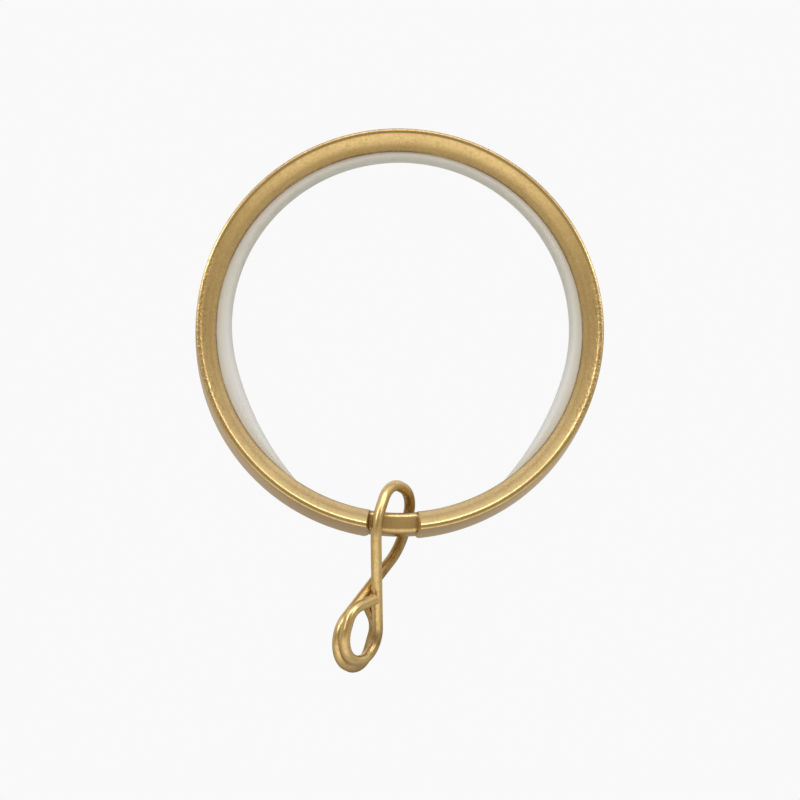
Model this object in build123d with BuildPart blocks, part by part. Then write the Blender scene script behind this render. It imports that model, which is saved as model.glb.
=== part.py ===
from build123d import *
from math import asin, degrees
import os

# Sizes in millimetres. The ring stands upright: its axis is Y, the eyelet is at the bottom.
# The band's width is the one at the crown's edges, and the round ridges between the crown and the flanks
# swell a little past it. Its depth is from the crown to the mouth of the channel.
OUTSIDE_DIAMETER = 50.0
BAND_WIDTH = 7.76
CROWN_RISE = 0.06
RIDGE_HEIGHT = 0.75
FLANK_BULGE = 0.22
BAND_DEPTH = 2.65
GROOVE_WIDTH = 3.5
GROOVE_DEPTH = 1.35
EDGE_ROUND = 0.12

# Neck, the narrower stretch of the circle that carries the eyelet, between shoulders that flare
# towards the ridges
NECK_LENGTH = 5.8
NECK_FLARE = 0.56
NECK_WIDTH = 3.8
NECK_HEIGHT = 2.6
NECK_ROUND = 0.7
NECK_ROOT = 0.6

# Liner. It stands proud of the mouth, round a bore that sits above the ring's centre and a little to the
# right of it.
LINER_PLAY = 0.03
LINER_PROUD = 1.6
BORE_LIFT = 0.9
BORE_SHIFT = 0.2
TAPER_START = 106.0
LEFT_TIP_ANGLE = 148.0
RIGHT_TIP_ANGLE = 143.5
LINER_ROUND = 0.9

# Eyelet wire. Heights are measured down from the middle of the neck, along the eyelet.
WIRE_DIAMETER = 1.35
STRAND_GAP = 0.1
WIRE_END_ROUND = 0.15
LOOP_TOP = -4.77
LOOP_TOP_HALF = 2.75
LOOP_TOP_BEND = 3.15
LOOP_SIDE_HALF = 4.27
LOOP_SIDE_BEND = 6.0
FRONT_SIDE_HEIGHT = 0.85
BACK_SIDE_HEIGHT = 1.83
FRONT_CROSSING = 8.73
BACK_CROSSING = 8.38
FRONT_EYE_BOTTOM = 17.4
BACK_EYE_BOTTOM = 18.05
FRONT_EYE_HALF = 4.23
BACK_EYE_HALF = 3.62
EYE_LEG_BEND = 3.4
EYE_BOTTOM_BEND = 3.1
EYE_SHOULDER_HEIGHT = 11.88
EYE_SHOULDER_BEND = 2.8
END_HALF = 1.0
END_HEIGHT = 9.53
END_LIFT = 0.7
EYELET_SHIFT = -0.18
EYELET_TWIST = 35.0
EYELET_LEAN = 13.55

crown_radius = OUTSIDE_DIAMETER / 2
crown_edge_radius = crown_radius - CROWN_RISE
flank_radius = crown_edge_radius - RIDGE_HEIGHT
mouth_radius = crown_radius - BAND_DEPTH
groove_radius = mouth_radius + GROOVE_DEPTH
half_band = BAND_WIDTH / 2
half_cut = half_band + RIDGE_HEIGHT
half_groove = GROOVE_WIDTH / 2
half_neck = NECK_LENGTH / 2
half_gap = half_neck + NECK_FLARE
half_neck_width = NECK_WIDTH / 2
neck_radius = crown_radius - NECK_HEIGHT / 2
neck_half_angle = degrees(asin((half_neck + NECK_ROOT) / neck_radius))
neck_end = Vector(1, 0, 0).rotate(Axis.Y, -neck_half_angle)
bore_radius = mouth_radius - LINER_PROUD
liner_outer_radius = groove_radius - LINER_PLAY
liner_width = GROOVE_WIDTH - 2 * LINER_PLAY
half_strand = (WIRE_DIAMETER + STRAND_GAP) / 2

# Metal ring: one section turned about the axis, cut at the bottom and bridged by the neck
with BuildPart() as metal_ring:
    with BuildSketch(Plane.XY) as ring_section:
        with BuildLine():
            ThreePointArc(
                (crown_edge_radius, -half_band),
                (crown_radius, 0),
                (crown_edge_radius, half_band),
            )
            back_flank = SagittaArc((mouth_radius, half_groove), (flank_radius, half_band), FLANK_BULGE)
            TangentArc(back_flank @ 1, (crown_edge_radius, half_band), tangent=back_flank % 1)
            front_flank = SagittaArc((mouth_radius, -half_groove), (flank_radius, -half_band), -FLANK_BULGE)
            TangentArc(front_flank @ 1, (crown_edge_radius, -half_band), tangent=front_flank % 1)
            Polyline(
                (mouth_radius, half_groove),
                (groove_radius, half_groove),
                (groove_radius, -half_groove),
                (mouth_radius, -half_groove),
            )
        make_face()
        edges_by_radius = ring_section.vertices().sort_by(Axis.X)
        fillet(edges_by_radius[:2] + edges_by_radius[-2:], EDGE_ROUND)
    revolve(axis=Axis.Y)
    with BuildSketch(Plane.XY.offset(-bore_radius)):
        with BuildLine():
            Polyline(
                (half_neck, half_neck_width),
                (half_gap, half_cut),
                (-half_gap, half_cut),
                (-half_neck, half_neck_width),
                (-half_neck, -half_neck_width),
                (-half_gap, -half_cut),
                (half_gap, -half_cut),
                (half_neck, -half_neck_width),
                close=True,
            )
        make_face()
    extrude(amount=-bore_radius, mode=Mode.SUBTRACT)
    with BuildSketch(Plane((0, 0, 0), x_dir=(0, 1, 0), z_dir=neck_end)):
        with Locations((0, -neck_radius)):
            RectangleRounded(NECK_WIDTH, NECK_HEIGHT, NECK_ROUND)
    revolve(axis=Axis.Y, revolution_arc=2 * neck_half_angle)

# Nylon liner: a C in the plane of the ring, thickened along the axis
with BuildPart() as nylon_liner:
    with BuildSketch(Plane.XZ):
        with BuildLine():
            tip_left = PolarLine((0, 0), mouth_radius, 90 + LEFT_TIP_ANGLE, mode=Mode.PRIVATE) @ 1
            heel_left = PolarLine((0, 0), liner_outer_radius, 90 + LEFT_TIP_ANGLE, mode=Mode.PRIVATE) @ 1
            tip_right = PolarLine((0, 0), mouth_radius, 90 - RIGHT_TIP_ANGLE, mode=Mode.PRIVATE) @ 1
            heel_right = PolarLine((0, 0), liner_outer_radius, 90 - RIGHT_TIP_ANGLE, mode=Mode.PRIVATE) @ 1
            Line(tip_right, heel_right)
            ThreePointArc(heel_right, (0, liner_outer_radius), heel_left)
            Line(heel_left, tip_left)
            bore = CenterArc((BORE_SHIFT, BORE_LIFT), bore_radius, 90 - TAPER_START, 2 * TAPER_START)
            TangentArc(bore @ 0, tip_right, tangent=-(bore % 0))
            TangentArc(bore @ 1, tip_left, tangent=bore % 1)
        make_face()
    extrude(amount=liner_width / 2, both=True)
    inner_faces = nylon_liner.faces().filter_by(GeomType.CYLINDER).sort_by(SortBy.AREA)[:-1]
    fillet(inner_faces.edges().filter_by(GeomType.CIRCLE), LINER_ROUND)

# Wire eyelet: each half runs from the top of the loop, down past the other one and once round the eye,
# and its end lies on its own leg
eyelet_across = Vector(0, 1, 0).rotate(Axis.Z, -EYELET_TWIST).rotate(Axis.Y, EYELET_LEAN)
eyelet_out = Vector(1, 0, 0).rotate(Axis.Z, -EYELET_TWIST).rotate(Axis.Y, EYELET_LEAN)
eyelet_plane = Plane((EYELET_SHIFT, 0, -neck_radius), x_dir=eyelet_across, z_dir=eyelet_out)


def half_corners(side, side_height, crossing, eye_half, eye_bottom):
    leg_slope = LOOP_SIDE_HALF / (crossing - side_height)
    leg_foot_half = leg_slope * (eye_bottom - crossing)
    return [
        (-side * LOOP_TOP_HALF, -LOOP_TOP, 0),
        (-side * LOOP_SIDE_HALF, -side_height, side * half_strand),
        (side * leg_foot_half, -eye_bottom, side * half_strand),
        (-side * eye_half, -eye_bottom, side * half_strand),
        (-side * eye_half, -EYE_SHOULDER_HEIGHT, side * half_strand),
        (-side * END_HALF, -END_HEIGHT, side * (half_strand + END_LIFT)),
    ]


front_half = half_corners(1, FRONT_SIDE_HEIGHT, FRONT_CROSSING, FRONT_EYE_HALF, FRONT_EYE_BOTTOM)
back_half = half_corners(-1, BACK_SIDE_HEIGHT, BACK_CROSSING, BACK_EYE_HALF, BACK_EYE_BOTTOM)
half_bends = [LOOP_TOP_BEND, LOOP_SIDE_BEND, EYE_LEG_BEND, EYE_BOTTOM_BEND, EYE_SHOULDER_BEND]

with BuildPart() as wire_eyelet:
    with BuildLine(eyelet_plane) as wire_path:
        FilletPolyline(*reversed(front_half), *back_half, radius=[*reversed(half_bends), *half_bends])
    with BuildSketch(Plane(wire_path.wire() @ 0, z_dir=wire_path.wire() % 0)):
        Circle(WIRE_DIAMETER / 2)
    sweep(path=wire_path.wire())
    first_end = wire_eyelet.faces().filter_by(GeomType.PLANE).sort_by_distance(wire_path.wire() @ 0)[0]
    last_end = wire_eyelet.faces().filter_by(GeomType.PLANE).sort_by_distance(wire_path.wire() @ 1)[0]
    fillet(first_end.edges() + last_end.edges(), WIRE_END_ROUND)

metal_ring.part.label = "metal_ring"
nylon_liner.part.label = "nylon_liner"
wire_eyelet.part.label = "wire_eyelet"

os.makedirs("parts", exist_ok=True)
export_step(metal_ring.part, "parts/metal_ring.step")
export_step(nylon_liner.part, "parts/nylon_liner.step")
export_step(wire_eyelet.part, "parts/wire_eyelet.step")
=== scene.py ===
import math

import bpy
from mathutils import Matrix, Vector


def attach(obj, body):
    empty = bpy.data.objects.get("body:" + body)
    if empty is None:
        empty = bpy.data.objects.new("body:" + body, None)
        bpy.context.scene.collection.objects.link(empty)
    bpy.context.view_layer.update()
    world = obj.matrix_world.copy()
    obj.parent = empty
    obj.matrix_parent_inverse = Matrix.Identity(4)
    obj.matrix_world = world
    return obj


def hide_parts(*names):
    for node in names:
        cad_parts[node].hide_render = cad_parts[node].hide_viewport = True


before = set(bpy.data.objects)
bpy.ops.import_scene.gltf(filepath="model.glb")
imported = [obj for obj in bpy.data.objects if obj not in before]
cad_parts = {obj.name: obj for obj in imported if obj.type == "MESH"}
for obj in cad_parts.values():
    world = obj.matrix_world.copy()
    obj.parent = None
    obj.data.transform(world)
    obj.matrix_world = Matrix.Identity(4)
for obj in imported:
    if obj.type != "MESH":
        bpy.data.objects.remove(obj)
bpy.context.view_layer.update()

# Sizes of the metal ring, in millimetres. Its axis is Y and the eyelet is at the bottom.
MM = 0.001
CROWN_RADIUS = 25.0
CROWN_RISE = 0.06
RIDGE_HEIGHT = 0.75
HALF_BAND = 3.88
BAND_DEPTH = 2.65
HALF_CHANNEL = 1.75
CHANNEL_DEPTH = 1.35
FLANK_BULGE = 0.22
EDGE_ROUND = 0.12
CHANNEL_ROUND = 0.1
NECK_LENGTH = 5.8
NECK_FLARE = 0.56
NECK_WIDTH = 3.8
NECK_HEIGHT = 2.6
NECK_ROUND = 0.7
NECK_ROOT = 0.6
NICK_DEPTH = 0.014
HALF_NECK = NECK_LENGTH / 2
NECK_RADIUS = CROWN_RADIUS - NECK_HEIGHT / 2
MOUTH_RADIUS = CROWN_RADIUS - BAND_DEPTH
RIDGE_RADIUS = CROWN_RADIUS - CROWN_RISE - RIDGE_HEIGHT / 2

# Sizes of the liner, in millimetres, and its angles from the top, in degrees
LINER_PLAY = 0.03
LINER_PROUD = 1.6
LINER_ROUND = 0.9
LINER_SEAT_ROUND = 0.1
LINER_OUTER_RADIUS = MOUTH_RADIUS + CHANNEL_DEPTH - LINER_PLAY
LINER_HALF_WIDTH = HALF_CHANNEL - LINER_PLAY
BORE_RADIUS = MOUTH_RADIUS - LINER_PROUD
LINER_HEIGHT = LINER_OUTER_RADIUS - BORE_RADIUS
BORE_LIFT = 0.9
BORE_SHIFT = 0.2
TAPER_START = 106.0
LEFT_TIP_ANGLE = 148.0
RIGHT_TIP_ANGLE = 143.5
SIDES = (("Left taper", -1, LEFT_TIP_ANGLE), ("Right taper", 1, RIGHT_TIP_ANGLE))

# Sizes of the wire eyelet, in millimetres. Heights are measured down from the middle of the neck.
WIRE_DIAMETER = 1.35
STRAND_GAP = 0.1
HALF_STRAND = (WIRE_DIAMETER + STRAND_GAP) / 2
WIRE_END_ROUND = 0.15
LOOP_TOP = -4.77
LOOP_TOP_HALF = 2.75
LOOP_TOP_BEND = 3.15
LOOP_SIDE_HALF = 4.27
LOOP_SIDE_BEND = 6.0
FRONT_SIDE_HEIGHT = 0.85
BACK_SIDE_HEIGHT = 1.83
FRONT_CROSSING = 8.73
BACK_CROSSING = 8.38
FRONT_EYE_BOTTOM = 17.4
BACK_EYE_BOTTOM = 18.05
FRONT_EYE_HALF = 4.23
BACK_EYE_HALF = 3.62
EYE_LEG_BEND = 3.4
EYE_BOTTOM_BEND = 3.1
EYE_SHOULDER_HEIGHT = 11.88
EYE_SHOULDER_BEND = 2.8
END_HALF = 1.0
END_HEIGHT = 9.53
END_LIFT = 0.7
EYELET_SHIFT = -0.18
EYELET_TWIST = 35.0
EYELET_LEAN = 13.55

# Fineness of the shapes: steps along arcs and round corners, the wire's step in millimetres, and the
# angle in degrees from which an edge is shaded sharp
CROWN_STEPS = 12
RIDGE_STEPS = 9
FLANK_STEPS = 10
BAND_STEPS = 720
BAND_CORNER_STEPS = 5
NECK_STEPS = 48
NECK_CORNER_STEPS = 10
LINER_STEPS = 480
LINER_CORNER_STEPS = 8
WIRE_BEND_STEPS = 40
WIRE_SIDES = 40
WIRE_STEP = 0.06
END_SLACK = 0.00001
SHARP_ANGLE = 40

# Colours of the finishes and of the light, in linear colour
GOLD = (0.76, 0.55, 0.245, 1)
PATINA = (0.25, 0.145, 0.045, 1)
WORN_GOLD = (0.86, 0.68, 0.38, 1)
GOLD_AT_GRAZING = (0.85, 0.72, 0.58, 1)
NYLON = (0.545, 0.53, 0.465, 1)
NYLON_CLEAR = (0.585, 0.57, 0.505, 1)
# Painted light on the nylon: paler at its thin lower ends, and brighter and warmer at its seat, most at the
# top
NYLON_LIT_THIN = (0.64, 0.632, 0.605, 1)
NYLON_LIT_TOP_SEAT = (0.665, 0.62, 0.545, 1)
NYLON_LIT_SEAT = (0.6, 0.565, 0.485, 1)
FLOOR_PAINT = (0.8, 0.8, 0.8, 1)
SIDE_LIGHT = (1.03, 1.0, 0.9, 1)
TOP_LIGHT = (0.98, 1.01, 1.06, 1)
WARM_LIGHT = (1.12, 0.98, 0.72, 1)
WHITE = (1, 1, 1, 1)

# Gloss and relief of the finishes. Lengths are in millimetres.
GOLD_ROUGHNESS = 0.33
LACQUER_WEIGHT = 0.5
LACQUER_ROUGHNESS = 0.22
GRAIN_HEIGHT = 0.012
RING_RELIEF = 0.6
WIRE_RELIEF = 0.2
NYLON_ROUGHNESS = 0.42
NYLON_INDEX = 1.45
NYLON_HAZE = 0.35
NYLON_HAZE_DEPTH = 0.6
NYLON_HAZE_TINT = (1.0, 0.95, 0.85)
CLOUD_HEIGHT = 0.02
NYLON_RELIEF = 0.3

# Noise in the finishes: size of its lumps in millimetres, and its detail
GRAIN = (0.34, 4.0)
MOTTLE = (1.6, 3.0)
DRIFT = (7.0, 2.0)
CLOUD = (1.6, 3.0)
FINE = (0.25, 2.0)

# How far each pattern darkens the gold, between the two levels of plain gold and full patina. Some patterns
# are painted shade.
PATINA_RANGE = (-0.35, 1.0)
GRAIN_DARK = 0.7
MOTTLE_DARK = 0.28
DRIFT_DARK = 0.3
SPECK_DARK = 0.15
PIT_DARK = 0.15
# Painted shade at the mouth, the seam, the shoulders, the sides and the upper ridges, and on the neck with
# some patina
MOUTH_SHADE_DARK = 0.25
SEAM_SHADOW_DARK = 0.5
SHOULDER_SHADE_DARK = 0.4
NECK_PATINA_AND_SHADE = 0.12
RUBBED_SIDE_SHADE = 0.16
TOP_RIDGE_SHADE_DARK = 0.6
SMUDGE_DARK = 0.12
# Painted shade on the wire's back strand
WIRE_BACK_SHADE_DARK = 0.5

# Shares of the patterns in the wear, the roughness and the relief
WORN_TINT = 0.15
WIRE_WEAR = 0.4
GRAIN_ROUGH = 0.25
SHADE_AND_STAIN_ROUGH = 0.12
WORN_GLOSS = 0.08
PIT_ROUGH = 0.15
SPECK_RISE = 0.5
PIT_DROP = 1.9
SMALL_NICK_SHARE = 0.8
CLEAR_CLOUDS = (0.35, 0.65)
FINE_RISE = 0.2
FINE_ROUGH = 0.1

# Patches cut from noise: size of its lumps in millimetres, and the levels where a patch starts and is full
SPECKS = (0.25, 0.62, 0.74)
PITS = (0.4, 0.42, 0.62)
LARGE_NICKS = (0.9, 0.55, 0.72)
SMALL_NICKS = (0.42, 0.5, 0.7)
SEAM_SHADOW_PATCHES = (5.0, 0.3, 0.6)
SMUDGES = (2.0, 0.45, 0.7)

# Zones of wear, stain, tone, painted shade and painted light, in millimetres: (where it is gone, where it is
# full). The ring is worn at its sides, round a height a little below its middle.
WORN_DROP = 2.0
WORN_HEIGHT = (14.0, 7.0)
NICKS_OFF_RIDGE = (0.45, 0.15)
NICKS_ALONG_AXIS = (3.4, 3.7)
BRIGHT_OFF_RIDGE = (0.4, 0.1)
BRIGHT_ALONG_AXIS = (3.55, 3.85)
# Pits and painted shade at the sides, next to the ridges
RUBBED_AND_SHADED_RADIUS = RIDGE_RADIUS - 0.3
RUBBED_AND_SHADED_OFF_RADIUS = (0.9, 0.3)
RUBBED_AND_SHADED_ALONG_AXIS = (2.6, 3.4)
# Painted shade on the upper ridges
TOP_RIDGE_SHADE_HEIGHT = (7.0, 16.0)
TOP_RIDGE_SHADE_ALONG_AXIS = (3.3, 3.6)
TOP_RIDGE_SHADE_RADIUS = (RIDGE_RADIUS - 0.05, RIDGE_RADIUS + 0.15)
# Painted shade towards the mouth, along the seam and at the shoulders; painted shade and patina on the neck
MOUTH_SHADE_ZONE = (MOUTH_RADIUS + 0.6, MOUTH_RADIUS)
SEAM_SHADOW_ZONE = (MOUTH_RADIUS + 0.28, MOUTH_RADIUS + 0.06)
SHOULDER_SHADE_ZONE = (0.3, 0.05)
NECK_PATINA_AND_SHADE_ZONE = (HALF_NECK + 0.1, HALF_NECK - 0.2)
NECK_SHADE_TOP = -20.0
# Painted shade on the wire's back strand
WIRE_BACK_SHADE_ZONE = (-0.2, 1.5)
# Painted light on the nylon: its thin lower ends and its seat
LIT_THIN_NYLON_HEIGHT = (15.0, -9.0)
LIT_TOP_SEAT_HEIGHT = (4.0, 15.0)
LIT_SEAT_RADIUS = (MOUTH_RADIUS - 0.9, MOUTH_RADIUS - 0.2)

# View of the photograph: the camera is below the ring and looks up at it. Angles are in degrees, distances
# from the camera are in metres, and the lens, its sensor and the shift of the aim are in millimetres.
CAMERA_DISTANCE = 0.616
LOOK_UP = 10.2
TURN = -1.8
ROLL = 1.9
FOCAL_LENGTH = 225.6
SENSOR_WIDTH = 36
NEAREST_SEEN = 0.01
AIM_RIGHT = 0.12
AIM_DOWN = 8.15

# The room, by the direction in which it is seen: (where a side of it is gone, where it is full)
OVERHEAD = (0.2, 0.75)
BELOW = (-0.05, -0.7)
FRONT = (0.05, -0.45)
BEHIND = (0.05, 0.4)
AT_VIEWER = (0.68, 0.92)
TO_VIEWER_UP = 0.21
TO_VIEWER_BACK = -0.98
FAR_BEHIND = (0.3, 0.7)
LOW = (-0.04, -0.17)
FAR_ASIDE = (0.5, 0.9)
ASIDE_IN_FRONT = (-0.1, -0.5)

# Levels of the light. PALE is the background that the camera sees, and ROOM_LEVEL is the plain room, to
# which gains are added and which the dim sides take a share from.
PALE = 0.947
ROOM_LEVEL = 0.58
OVERHEAD_GAIN = 0.39
FRONT_BELOW_GAIN = 0.6
BEHIND_GAIN = 0.03
VIEWER_DIM = 0.47
BESIDE_DIM = 0.35
LOW_BEHIND_DIM = 0.4
LOW_BEHIND_WARMTH = 0.45

# Lamps: name, place, width and height in metres, and watts. The floor's sizes are in metres too.
LAMPS = (
    ("key_softbox", (0.0, -0.75, 0.75), 0.8, 0.26, 2.9),
    ("left_softbox", (-0.62, -0.8, 0.45), 0.3, 0.3, 1.9),
    ("right_softbox", (0.62, -0.8, 0.45), 0.3, 0.3, 1.35),
)
FLOOR_REACH = 3.0
FLOOR_HEIGHT = -0.25


def find(sockets, key):
    """A socket by its identifier, its name or its place."""
    for socket in sockets:
        if socket.identifier == key:
            return socket
    return sockets[key]


class Wire:
    """One output of a node. Arithmetic on it adds Math nodes to its tree."""

    def __init__(self, net, socket):
        self.net = net
        self.socket = socket

    def __getitem__(self, key):
        return Wire(self.net, find(self.socket.node.outputs, key))

    def math(self, operation, *values):
        return self.net.add("ShaderNodeMath", {"operation": operation}, dict(enumerate(values)))

    def __add__(self, other):
        return self.math("ADD", self, other)

    def __sub__(self, other):
        return self.math("SUBTRACT", self, other)

    def __rsub__(self, other):
        return self.math("SUBTRACT", other, self)

    def __mul__(self, other):
        return self.math("MULTIPLY", self, other)

    def __truediv__(self, other):
        return self.math("DIVIDE", self, other)

    def __rtruediv__(self, other):
        return self.math("DIVIDE", other, self)

    def __pow__(self, other):
        return self.math("POWER", self, other)

    def __abs__(self):
        return self.math("ABSOLUTE", self)

    def __lt__(self, other):
        return self.math("LESS_THAN", self, other)

    def __gt__(self, other):
        return self.math("GREATER_THAN", self, other)

    __radd__ = __add__
    __rmul__ = __mul__


class Net:
    """A node tree that is filled one node at a time."""

    def __init__(self, tree):
        self.tree = tree

    def add(self, kind, settings=None, sockets=None):
        """Adds a node, sets or links its sockets, a list being several links, and gives its first output."""
        node = self.tree.nodes.new(kind)
        for name, value in (settings or {}).items():
            setattr(node, name, value)
        for key, value in (sockets or {}).items():
            socket = find(node.inputs, key)
            for item in value if isinstance(value, list) else [value]:
                if isinstance(item, Wire):
                    self.tree.links.new(item.socket, socket)
                else:
                    socket.default_value = item
        return Wire(self, node.outputs[0]) if node.outputs else None

    def blend(self, factor, first, second):
        """Mixes two colours."""
        return self.add(
            "ShaderNodeMix",
            {"data_type": "RGBA"},
            {"Factor_Float": factor, "A_Color": first, "B_Color": second},
        )["Result_Color"]

    def step(self, value, none, full):
        """0 at none and before it, 1 at full and past it, and smooth between them."""
        return self.add(
            "ShaderNodeMapRange",
            {"interpolation_type": "SMOOTHSTEP"},
            {"Value": value, "From Min": none, "From Max": full},
        )

    def zone(self, length, limits):
        """A step between two limits that are in millimetres."""
        none, full = limits
        return self.step(length, none * MM, full * MM)

    def noise(self, vector, size, detail=2.0):
        """Noise whose lumps are about that many millimetres across."""
        return self.add(
            "ShaderNodeTexNoise",
            {"noise_dimensions": "3D"},
            {"Vector": vector, "Scale": 1 / (size * MM), "Detail": detail},
        )["Fac"]

    def patches(self, vector, kind):
        """Patches where the noise is high."""
        size, start, full = kind
        return self.step(self.noise(vector, size), start, full)

    def split(self, vector):
        """The three parts of a vector."""
        parts = self.add("ShaderNodeSeparateXYZ", sockets={"Vector": vector})
        return parts["X"], parts["Y"], parts["Z"]

    def join(self, x, y, z):
        """A vector from its three parts."""
        return self.add("ShaderNodeCombineXYZ", sockets={"X": x, "Y": y, "Z": z})


def shape_tree(name, sizes):
    """A Geometry Nodes tree with a geometry input and a named input for each size."""
    tree = bpy.data.node_groups.new(name, "GeometryNodeTree")
    tree.interface.new_socket("Geometry", in_out="INPUT", socket_type="NodeSocketGeometry")
    for label in sizes:
        tree.interface.new_socket(label, in_out="INPUT", socket_type="NodeSocketFloat")
    tree.interface.new_socket("Geometry", in_out="OUTPUT", socket_type="NodeSocketGeometry")
    net = Net(tree)
    return net, net.add("NodeGroupInput")


def close_tree(net, geometry, material):
    """Shades smooth up to the sharp angle, sets the material and ends the tree."""
    angle = net.add("GeometryNodeInputMeshEdgeAngle")
    smooth = net.add(
        "GeometryNodeSetShadeSmooth",
        {"domain": "EDGE"},
        {"Geometry": geometry, "Shade Smooth": angle < math.radians(SHARP_ANGLE)},
    )
    solid = net.add("GeometryNodeRealizeInstances", sockets={"Geometry": smooth})
    dressed = net.add("GeometryNodeSetMaterial", sockets={"Geometry": solid, "Material": material})
    net.add("NodeGroupOutput", sockets={"Geometry": dressed})


def line_object(name, points, rounds, closed):
    """A curve of straight runs, from millimetres. Each point's radius is the round of that corner."""
    curve = bpy.data.curves.new(name, "CURVE")
    curve.dimensions = "3D"
    spline = curve.splines.new("POLY")
    spline.points.add(len(points) - 1)
    spline.use_cyclic_u = closed
    for spot, place, corner in zip(spline.points, points, rounds):
        spot.co = (*(c * MM for c in place), 1)
        spot.radius = corner * MM
    item = bpy.data.objects.new(name, curve)
    bpy.context.scene.collection.objects.link(item)
    return item


def grow(item, net, sizes):
    """Runs the tree on an object and returns the result as a plain mesh object of the same name."""
    modifier = item.modifiers.new("shape", "NODES")
    modifier.node_group = net.tree
    labels = {s.name: s.identifier for s in net.tree.interface.items_tree if s.in_out == "INPUT"}
    for label, value in sizes.items():
        modifier[labels[label]] = value
    depsgraph = bpy.context.evaluated_depsgraph_get()
    mesh = bpy.data.meshes.new_from_object(item.evaluated_get(depsgraph), depsgraph=depsgraph)
    name = item.name
    item.modifiers.remove(modifier)
    bpy.data.objects.remove(item)
    piece = bpy.data.objects.new(name, mesh)
    mesh.name = name
    bpy.context.scene.collection.objects.link(piece)
    return piece


def rounded(net, curve, steps):
    """Rounds each corner of a curve by its own radius."""
    return net.add(
        "GeometryNodeFilletCurve",
        {"mode": "POLY"},
        {"Curve": curve, "Radius": net.add("GeometryNodeInputRadius"), "Count": steps, "Limit Radius": False},
    )


def arc_path(net, steps, radius, start, turn):
    """An arc about the origin, to sweep a section along."""
    arc = net.add(
        "GeometryNodeCurveArc",
        {"mode": "RADIUS"},
        {"Resolution": steps, "Radius": radius, "Start Angle": start, "Sweep Angle": turn},
    )
    return net.add("GeometryNodeSetCurveNormal", {"mode": "Z_UP"}, {"Curve": arc})


def sweep(net, path, section, scale=1.0):
    """Sweeps a closed section along a path and closes both ends."""
    return net.add(
        "GeometryNodeCurveToMesh",
        sockets={"Curve": path, "Profile Curve": section, "Scale": scale, "Fill Caps": True},
    )


def stand_up(net, mesh):
    """Turns what was swept in the flat to stand upright, with its axis along Y."""
    return net.add("GeometryNodeTransform", sockets={"Geometry": mesh, "Rotation": (math.pi / 2, 0, 0)})


def from_axis(x, z):
    """Distance from the ring's axis."""
    return (x * x + z * z) ** 0.5


def at_sides(net, z):
    """1 at the sides of the ring, where it is worn, and 0 towards its top and bottom."""
    return net.zone(abs(z + WORN_DROP * MM), WORN_HEIGHT)


def arc_between(start, end, bulge, steps):
    """Points of a flat arc that leaves the straight line by bulge, to its left, ends included."""
    a, b = Vector(start), Vector(end)
    half = (b - a).length / 2
    radius = (half * half + bulge * bulge) / (2 * abs(bulge))
    along = (b - a).normalized()
    left = Vector((-along.y, along.x)) * math.copysign(1, bulge)
    centre = (a + b) / 2 - left * (radius - abs(bulge))
    reach = math.asin(half / radius)
    turns = (reach * (2 * i / steps - 1) for i in range(steps + 1))
    return [tuple(centre + (left * math.cos(t) + along * math.sin(t)) * radius) for t in turns]


def band_section():
    """Outline of the band: (out from the mouth's circle, along the axis), with each corner's round."""
    edge = BAND_DEPTH - CROWN_RISE
    flank_end = edge - RIDGE_HEIGHT
    slope = Vector((flank_end, HALF_BAND - HALF_CHANNEL))
    ridge_lean = math.atan2(slope.y, slope.x) - 2 * math.atan(2 * FLANK_BULGE / slope.length)
    swell = RIDGE_HEIGHT / 2 * math.tan(ridge_lean / 2)
    crown_arc = arc_between((edge, -HALF_BAND), (edge, HALF_BAND), -CROWN_RISE, CROWN_STEPS)
    ridge = arc_between((edge, HALF_BAND), (flank_end, HALF_BAND), -swell, RIDGE_STEPS)
    flank = arc_between((flank_end, HALF_BAND), (0, HALF_CHANNEL), -FLANK_BULGE, FLANK_STEPS)
    side = ridge[1:] + flank[1:]
    channel = [(CHANNEL_DEPTH, HALF_CHANNEL), (CHANNEL_DEPTH, -HALF_CHANNEL)]
    points = crown_arc + side + channel + [(x, -y) for x, y in reversed(side)]
    side_rounds = [0] * (len(side) - 1) + [EDGE_ROUND]
    rounds = [EDGE_ROUND] + [0] * (len(crown_arc) - 2) + [EDGE_ROUND]
    rounds += side_rounds + [CHANNEL_ROUND] * len(channel) + side_rounds[::-1]
    return [(x, y, 0) for x, y in points], rounds


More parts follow.
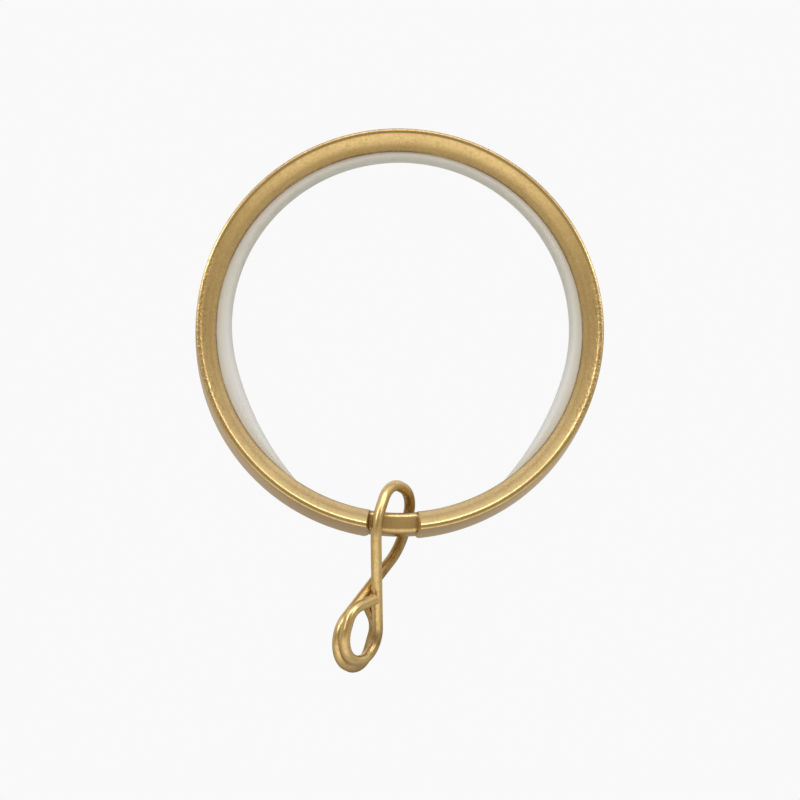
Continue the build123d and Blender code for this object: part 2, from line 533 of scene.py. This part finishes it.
def make_ring(material):
    """The band is swept round the axis, ends in two flat shoulders and joins the neck between them."""
    sizes = {
        "Path radius": MOUTH_RADIUS * MM,
        "Gap angle": 2 * math.asin((HALF_NECK + NECK_FLARE / 2) / NECK_RADIUS),
        "Half gap": HALF_NECK * MM,
        "Flare": NECK_FLARE / (HALF_BAND + RIDGE_HEIGHT - NECK_WIDTH / 2),
        "Neck radius": NECK_RADIUS * MM,
        "Neck angle": 2 * math.asin((HALF_NECK + NECK_ROOT) / NECK_RADIUS),
        "Neck width": NECK_WIDTH * MM,
        "Neck height": NECK_HEIGHT * MM,
        "Neck round": NECK_ROUND * MM,
        "Nick depth": NICK_DEPTH * MM,
    }
    net, given = shape_tree("band_sweep", sizes)
    gap_end = given["Gap angle"] * 0.5 - math.pi / 2
    path = arc_path(net, BAND_STEPS, given["Path radius"], gap_end, 2 * math.pi - given["Gap angle"])
    along = net.add("GeometryNodeSplineParameter")["Factor"]
    path = net.add(
        "GeometryNodeStoreNamedAttribute",
        {"data_type": "FLOAT", "domain": "POINT"},
        {"Geometry": path, "Name": "along", "Value": along},
    )
    band = stand_up(net, sweep(net, path, rounded(net, given["Geometry"], BAND_CORNER_STEPS)))

    # Both ends of the band become flat shoulders that flare towards the ridges
    spot = net.add("GeometryNodeInputPosition")
    x, y, z = net.split(spot)
    radius = from_axis(x, z)
    stored = net.add("GeometryNodeInputNamedAttribute", {"data_type": "FLOAT"}, {"Name": "along"})
    at_end = abs(stored - 0.5) > 0.5 - END_SLACK
    side = x.math("SIGN", x)
    beyond = abs(y) - given["Neck width"] * 0.5
    reach = given["Half gap"] + given["Flare"] * x.math("MAXIMUM", beyond, 0)
    flat = net.join(side * reach, y, 0 - (radius * radius - reach * reach) ** 0.5)
    band = net.add(
        "GeometryNodeSetPosition",
        sockets={"Geometry": band, "Selection": at_end, "Position": flat},
    )

    # Small nicks in the ridges
    on_ridge = net.zone(abs(radius - RIDGE_RADIUS * MM), NICKS_OFF_RIDGE)
    on_ridge = on_ridge * net.zone(abs(y), NICKS_ALONG_AXIS)
    nick = net.patches(spot, LARGE_NICKS) + SMALL_NICK_SHARE * net.patches(spot, SMALL_NICKS)
    depth = on_ridge * at_sides(net, z) * nick * given["Nick depth"] * -1
    inward = net.add(
        "ShaderNodeVectorMath",
        {"operation": "SCALE"},
        {"Vector": net.add("GeometryNodeInputNormal"), "Scale": depth},
    )
    band = net.add("GeometryNodeSetPosition", sockets={"Geometry": band, "Offset": inward})

    outline = net.add(
        "GeometryNodeCurvePrimitiveQuadrilateral",
        sockets={"Width": given["Neck height"], "Height": given["Neck width"]},
    )
    outline = net.add(
        "GeometryNodeFilletCurve",
        {"mode": "POLY"},
        {"Curve": outline, "Radius": given["Neck round"], "Count": NECK_CORNER_STEPS, "Limit Radius": True},
    )
    neck_start = given["Neck angle"] * -0.5 - math.pi / 2
    run = arc_path(net, NECK_STEPS, given["Neck radius"], neck_start, given["Neck angle"])
    neck = stand_up(net, sweep(net, run, outline))
    whole = net.add(
        "GeometryNodeMeshBoolean",
        {"operation": "UNION", "solver": "MANIFOLD"},
        {"Mesh 2": [band, neck]},
    )
    close_tree(net, whole, material)
    points, rounds = band_section()
    return grow(line_object("ring_band", points, rounds, True), net, sizes)


def make_liner(material):
    """A strip with rounded running edges is swept round the axis and thinned to its tapering height."""
    start = math.radians(TAPER_START)
    sizes = {
        "Path radius": LINER_OUTER_RADIUS * MM,
        "Left sweep": math.radians(LEFT_TIP_ANGLE),
        "Right sweep": math.radians(RIGHT_TIP_ANGLE),
        "Section height": LINER_HEIGHT * MM,
        "Bore radius": BORE_RADIUS * MM,
        "Bore across": BORE_SHIFT * MM,
        "Bore up": BORE_LIFT * MM,
    }
    for label, side, tip_angle in SIDES:
        tip = math.radians(tip_angle)
        inward = Vector((-side * math.sin(start), -math.cos(start)))
        bore_end = Vector((BORE_SHIFT, BORE_LIFT)) - inward * BORE_RADIUS
        chord = Vector((side * math.sin(tip), math.cos(tip))) * MOUTH_RADIUS - bore_end
        taper_radius = chord.length_squared / (2 * chord.dot(inward))
        taper_centre = bore_end + inward * taper_radius
        sizes[label + " angle"] = math.atan2(side * bore_end.x, bore_end.y)
        sizes[label + " radius"] = taper_radius * MM
        sizes[label + " across"] = taper_centre.x * MM
        sizes[label + " up"] = taper_centre.y * MM
    net, given = shape_tree("liner_sweep", sizes)
    right_end = math.pi / 2 - given["Right sweep"]
    turn = given["Left sweep"] + given["Right sweep"]
    path = arc_path(net, LINER_STEPS, given["Path radius"], right_end, turn)
    strip = stand_up(net, sweep(net, path, rounded(net, given["Geometry"], LINER_CORNER_STEPS)))
    x, y, z = net.split(net.add("GeometryNodeInputPosition"))
    radius = from_axis(x, z)
    sine = x / radius
    cosine = z / radius
    angle = sine.math("ARCTAN2", abs(sine), cosine)

    def reach(label):
        """Distance from the axis to one of the circles that bound the strip inside."""
        across, up = given[label + " across"], given[label + " up"]
        off = across * cosine - up * sine
        return across * sine + up * cosine + (given[label + " radius"] ** 2 - off * off) ** 0.5

    inner = reach("Bore")
    for label, side, _ in SIDES:
        tapering = (angle > given[label + " angle"]) * (side * x > 0)
        inner = inner + tapering * (reach(label) - inner)
    share = (given["Path radius"] - radius) / given["Section height"]
    thinned = given["Path radius"] - share * (given["Path radius"] - inner)
    scale = thinned / radius
    strip = net.add(
        "GeometryNodeSetPosition",
        sockets={"Geometry": strip, "Position": net.join(x * scale, y, z * scale)},
    )
    close_tree(net, strip, material)
    half = LINER_HALF_WIDTH
    points = [(0, -half, 0), (0, half, 0), (-LINER_HEIGHT, half, 0), (-LINER_HEIGHT, -half, 0)]
    rounds = [LINER_SEAT_ROUND, LINER_SEAT_ROUND, LINER_ROUND, LINER_ROUND]
    return grow(line_object("liner_strip", points, rounds, True), net, sizes)


def half_corners(side, side_height, crossing, eye_half, eye_bottom):
    """Corners of one half of the wire, from the top of the loop to its end: (across, up, out)."""
    leg_slope = LOOP_SIDE_HALF / (crossing - side_height)
    leg_foot_half = leg_slope * (eye_bottom - crossing)
    return [
        (-side * LOOP_TOP_HALF, -LOOP_TOP, 0),
        (-side * LOOP_SIDE_HALF, -side_height, side * HALF_STRAND),
        (side * leg_foot_half, -eye_bottom, side * HALF_STRAND),
        (-side * eye_half, -eye_bottom, side * HALF_STRAND),
        (-side * eye_half, -EYE_SHOULDER_HEIGHT, side * HALF_STRAND),
        (-side * END_HALF, -END_HEIGHT, side * (HALF_STRAND + END_LIFT)),
    ]


def make_eyelet(material):
    """The wire follows its rounded path and has two rounded ends."""
    front = half_corners(1, FRONT_SIDE_HEIGHT, FRONT_CROSSING, FRONT_EYE_HALF, FRONT_EYE_BOTTOM)
    back = half_corners(-1, BACK_SIDE_HEIGHT, BACK_CROSSING, BACK_EYE_HALF, BACK_EYE_BOTTOM)
    bends = [LOOP_TOP_BEND, LOOP_SIDE_BEND, EYE_LEG_BEND, EYE_BOTTOM_BEND, EYE_SHOULDER_BEND]
    lean = Matrix.Rotation(math.radians(EYELET_LEAN), 3, "Y")
    turn = lean @ Matrix.Rotation(math.radians(-EYELET_TWIST), 3, "Z")
    hinge = Vector((EYELET_SHIFT, 0, -NECK_RADIUS))
    points = [hinge + turn @ Vector((out, across, up)) for across, up, out in front[::-1] + back]
    rounds = [0] + bends[::-1] + bends + [0]
    sizes = {
        "Wire radius": WIRE_DIAMETER / 2 * MM,
        "End round": WIRE_END_ROUND * MM,
        "Step": WIRE_STEP * MM,
    }
    net, given = shape_tree("wire_sweep", sizes)
    path = rounded(net, given["Geometry"], WIRE_BEND_STEPS)
    path = net.add("GeometryNodeResampleCurve", {"mode": "LENGTH"}, {"Curve": path, "Length": given["Step"]})
    along = net.add("GeometryNodeSplineParameter")["Length"]
    whole = net.add("GeometryNodeSplineLength")["Length"]
    from_end = along.math("MINIMUM", along, whole - along)
    short = 1 - from_end.math("MINIMUM", from_end / given["End round"], 1)
    drop = 1 - (1 - short * short) ** 0.5
    circle = net.add(
        "GeometryNodeCurvePrimitiveCircle",
        {"mode": "RADIUS"},
        {"Resolution": WIRE_SIDES, "Radius": given["Wire radius"]},
    )
    wire = sweep(net, path, circle, 1 - drop * given["End round"] / given["Wire radius"])
    close_tree(net, wire, material)
    return grow(line_object("eyelet_wire", points, rounds, False), net, sizes)


def finish_tree(name):
    """A new material with an empty tree."""
    material = bpy.data.materials.new(name)
    material.use_nodes = True
    material.node_tree.nodes.clear()
    return material, Net(material.node_tree)


def close_finish(net, **sockets):
    """Feeds the shader and the output."""
    named = {label.replace("_", " "): value for label, value in sockets.items()}
    shader = net.add("ShaderNodeBsdfPrincipled", sockets=named)
    net.add("ShaderNodeOutputMaterial", sockets={"Surface": shader})


def gold_coat(net, spot, shade_and_stain, wear, pits, relief):
    """Lacquered antique gold: grain, slow drifts of tone, darker where the given mask of painted shade and
    stain is, and bright where worn.
    """
    grain = net.noise(spot, *GRAIN)
    mottle = net.noise(spot, *MOTTLE)
    drift = net.noise(spot, *DRIFT)
    speck = net.patches(spot, SPECKS)
    shade = shade_and_stain + GRAIN_DARK * (grain - 0.5) + MOTTLE_DARK * (mottle - 0.5) + DRIFT_DARK * (drift - 0.5)
    shade = shade + SPECK_DARK * speck + PIT_DARK * pits
    colour = net.blend(net.step(shade, *PATINA_RANGE), GOLD, PATINA)
    colour = net.blend(WORN_TINT * wear, colour, WORN_GOLD)
    rough = GOLD_ROUGHNESS + GRAIN_ROUGH * (grain - 0.5) + SHADE_AND_STAIN_ROUGH * shade_and_stain
    rough = rough - WORN_GLOSS * wear + PIT_ROUGH * pits
    height = grain + SPECK_RISE * speck - PIT_DROP * pits
    bump = net.add(
        "ShaderNodeBump",
        sockets={"Strength": relief, "Distance": GRAIN_HEIGHT * MM, "Height": height},
    )
    close_finish(
        net,
        Base_Color=colour,
        Metallic=1.0,
        Roughness=rough,
        Normal=bump,
        Specular_Tint=GOLD_AT_GRAZING,
        Coat_Weight=LACQUER_WEIGHT,
        Coat_Roughness=LACQUER_ROUGHNESS,
    )


def ring_gold():
    """Gold of the ring: painted shade in its recesses and on the neck, which has some patina too, and on the
    upper ridges; worn and pitted at its sides, with painted shade there.
    """
    material, net = finish_tree("ring_gold")
    spot = net.add("ShaderNodeTexCoord")["Object"]
    x, y, z = net.split(spot)
    radius = from_axis(x, z)
    # Painted shade: darker towards the mouth, beside the liner
    mouth = net.zone(radius, MOUTH_SHADE_ZONE)
    # Painted shadow in patches along the seam with the liner
    seam = net.zone(radius, SEAM_SHADOW_ZONE) * net.patches(spot, SEAM_SHADOW_PATCHES)
    # Painted shade at the shoulders, low on the ring near the neck
    by_neck = z < NECK_SHADE_TOP * MM
    shoulder = net.zone(abs(abs(x) - HALF_NECK * MM), SHOULDER_SHADE_ZONE) * by_neck
    # Painted shade on the neck, with some patina
    neck = net.zone(abs(x), NECK_PATINA_AND_SHADE_ZONE) * by_neck
    wear = net.zone(abs(radius - RIDGE_RADIUS * MM), BRIGHT_OFF_RIDGE)
    wear = wear * net.zone(abs(y), BRIGHT_ALONG_AXIS)
    # Pits, and painted shade at the sides next to the ridges
    rubbed_and_shaded = net.zone(abs(radius - RUBBED_AND_SHADED_RADIUS * MM), RUBBED_AND_SHADED_OFF_RADIUS)
    rubbed_and_shaded = rubbed_and_shaded * net.zone(abs(y), RUBBED_AND_SHADED_ALONG_AXIS) * at_sides(net, z)
    pits = rubbed_and_shaded * net.patches(spot, PITS)
    # Painted shade on the upper ridges, which dims their highlight
    top_ridge_shade = net.zone(z, TOP_RIDGE_SHADE_HEIGHT) * net.zone(abs(y), TOP_RIDGE_SHADE_ALONG_AXIS) * net.zone(radius, TOP_RIDGE_SHADE_RADIUS)
    dark = MOUTH_SHADE_DARK * mouth + SEAM_SHADOW_DARK * seam + SHOULDER_SHADE_DARK * shoulder + NECK_PATINA_AND_SHADE * neck
    dark = dark + RUBBED_SIDE_SHADE * rubbed_and_shaded + TOP_RIDGE_SHADE_DARK * top_ridge_shade
    shade_and_stain = net.add("ShaderNodeClamp", sockets={"Value": dark})
    gold_coat(net, spot, shade_and_stain, wear, pits, RING_RELIEF)
    return material


def wire_gold():
    """Gold of the wire: smudged, with painted shade on its back strand."""
    material, net = finish_tree("wire_gold")
    spot = net.add("ShaderNodeTexCoord")["Object"]
    smudge = net.patches(spot, SMUDGES)
    _, y, _ = net.split(spot)
    # Smudges of dirt, and painted shade on the back strand
    shade_and_stain = SMUDGE_DARK * smudge + WIRE_BACK_SHADE_DARK * net.zone(y, WIRE_BACK_SHADE_ZONE)
    gold_coat(net, spot, shade_and_stain, WIRE_WEAR * (1 - smudge), 0.0, WIRE_RELIEF)
    return material


def milky_nylon():
    """Cloudy nylon with painted light: paler towards its thin ends, and brighter and warmer at the seat in
    the metal, most at the top.
    """
    material, net = finish_tree("milky_nylon")
    spot = net.add("ShaderNodeTexCoord")["Object"]
    x, _, z = net.split(spot)
    radius = from_axis(x, z)
    cloud = net.noise(spot, *CLOUD)
    fine = net.noise(spot, *FINE)
    colour = net.blend(net.step(cloud, *CLEAR_CLOUDS), NYLON, NYLON_CLEAR)
    # Painted light: paler towards the thin lower ends
    colour = net.blend(net.zone(z, LIT_THIN_NYLON_HEIGHT), colour, NYLON_LIT_THIN)
    # Painted light: brighter and warmer at the seat in the metal, most at the top
    seat = net.blend(net.zone(z, LIT_TOP_SEAT_HEIGHT), NYLON_LIT_SEAT, NYLON_LIT_TOP_SEAT)
    colour = net.blend(net.zone(radius, LIT_SEAT_RADIUS), colour, seat)
    height = cloud + FINE_RISE * fine
    bump = net.add(
        "ShaderNodeBump",
        sockets={"Strength": NYLON_RELIEF, "Distance": CLOUD_HEIGHT * MM, "Height": height},
    )
    close_finish(
        net,
        Base_Color=colour,
        Roughness=NYLON_ROUGHNESS + FINE_ROUGH * (fine - 0.5),
        Normal=bump,
        Subsurface_Weight=NYLON_HAZE,
        Subsurface_Radius=NYLON_HAZE_TINT,
        Subsurface_Scale=NYLON_HAZE_DEPTH * MM,
        IOR=NYLON_INDEX,
    )
    return material


def place_camera():
    """The photograph's view, with the ring above the middle of the frame."""
    tilt, turn, roll = (math.radians(a) for a in (LOOK_UP, TURN, ROLL))
    across = Vector((math.cos(turn), math.sin(turn), 0))
    ahead = Vector((-math.sin(turn) * math.cos(tilt), math.cos(turn) * math.cos(tilt), math.sin(tilt)))
    upward = across.cross(ahead)
    right = across * math.cos(roll) + upward * math.sin(roll)
    top = upward * math.cos(roll) - across * math.sin(roll)
    eye = ahead * -CAMERA_DISTANCE
    target = (right * AIM_RIGHT - top * AIM_DOWN) * MM
    back = (eye - target).normalized()
    right = (right - back * right.dot(back)).normalized()
    top = back.cross(right)
    data = bpy.data.cameras.new("camera")
    data.lens = FOCAL_LENGTH
    data.sensor_width = SENSOR_WIDTH
    data.clip_start = NEAREST_SEEN
    camera = bpy.data.objects.new("camera", data)
    camera.matrix_world = Matrix.Translation(eye) @ Matrix((right, top, back)).transposed().to_4x4()
    bpy.context.scene.collection.objects.link(camera)
    bpy.context.scene.camera = camera


def softbox(name, place, width, height, watts):
    """A soft lamp that faces the middle of the ring."""
    data = bpy.data.lights.new(name, "AREA")
    data.shape = "RECTANGLE"
    data.size = width
    data.size_y = height
    data.energy = watts
    lamp = bpy.data.objects.new(name, data)
    lamp.location = place
    lamp.rotation_euler = (Vector((0, 0, 0)) - Vector(place)).to_track_quat("-Z", "Y").to_euler()
    bpy.context.scene.collection.objects.link(lamp)


def light_studio():
    """A room that is bright overhead and in front below, dim and warm towards the viewer, in front at the
    sides and low behind, with soft lamps. The camera sees a plain pale background in its place."""
    world = bpy.data.worlds.new("studio")
    bpy.context.scene.world = world
    world.use_nodes = True
    world.node_tree.nodes.clear()
    world.cycles.sampling_method = "NONE"
    net = Net(world.node_tree)
    rays = net.add("ShaderNodeLightPath")
    x, y, z = net.split(net.add("ShaderNodeTexCoord")["Generated"])
    overhead = net.step(z, *OVERHEAD)
    below = net.step(z, *BELOW)
    front = net.step(y, *FRONT)
    behind = net.step(y, *BEHIND) * (1 - overhead)
    by_viewer = net.step(TO_VIEWER_UP * z + TO_VIEWER_BACK * y, *AT_VIEWER)
    low_behind = net.step(y, *FAR_BEHIND) * net.step(z, *LOW)
    beside = net.step(abs(x), *FAR_ASIDE) * net.step(y, *ASIDE_IN_FRONT)
    room = ROOM_LEVEL + OVERHEAD_GAIN * overhead + FRONT_BELOW_GAIN * below * front + BEHIND_GAIN * behind
    room = room * (1 - VIEWER_DIM * by_viewer) * (1 - BESIDE_DIM * beside) * (1 - LOW_BEHIND_DIM * low_behind)
    warmth = by_viewer.math("MAXIMUM", by_viewer, beside) + LOW_BEHIND_WARMTH * low_behind
    tone = net.blend(overhead, SIDE_LIGHT, TOP_LIGHT)
    tone = net.blend(warmth, tone, WARM_LIGHT)
    seen = rays["Is Camera Ray"].math("MAXIMUM", rays["Is Camera Ray"], rays["Is Transmission Ray"])
    level = room * (1 - seen) + PALE * seen
    colour = net.blend(seen, tone, WHITE)
    shade = net.add("ShaderNodeBackground", sockets={"Color": colour, "Strength": level})
    net.add("ShaderNodeOutputWorld", sockets={"Surface": shade})
    for lamp in LAMPS:
        softbox(*lamp)


def lay_floor():
    """A plain pale floor, well below the ring. The metal shows the room in its place."""
    far, low = FLOOR_REACH, FLOOR_HEIGHT
    corners = [(-far, -far, low), (far, -far, low), (far, far, low), (-far, far, low)]
    mesh = bpy.data.meshes.new("floor")
    mesh.from_pydata(corners, [], [(0, 1, 2, 3)])
    material, net = finish_tree("floor_paint")
    rays = net.add("ShaderNodeLightPath")
    paint = net.add("ShaderNodeBsdfDiffuse", sockets={"Color": FLOOR_PAINT})
    clear = net.add("ShaderNodeBsdfTransparent")
    surface = net.add("ShaderNodeMixShader", sockets={0: rays["Is Glossy Ray"], 1: paint, 2: clear})
    net.add("ShaderNodeOutputMaterial", sockets={"Surface": surface})
    mesh.materials.append(material)
    floor = bpy.data.objects.new("floor", mesh)
    bpy.context.scene.collection.objects.link(floor)


bpy.context.scene.view_settings.view_transform = "Standard"
place_camera()
light_studio()
lay_floor()

for piece, body, node, slot in (
    (make_ring(ring_gold()), "ring", "metal_ring", "gold_metal"),
    (make_liner(milky_nylon()), "ring", "nylon_liner", "nylon"),
    (make_eyelet(wire_gold()), "eyelet", "wire_eyelet", "gold_wire"),
):
    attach(piece, body)
    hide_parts(node)
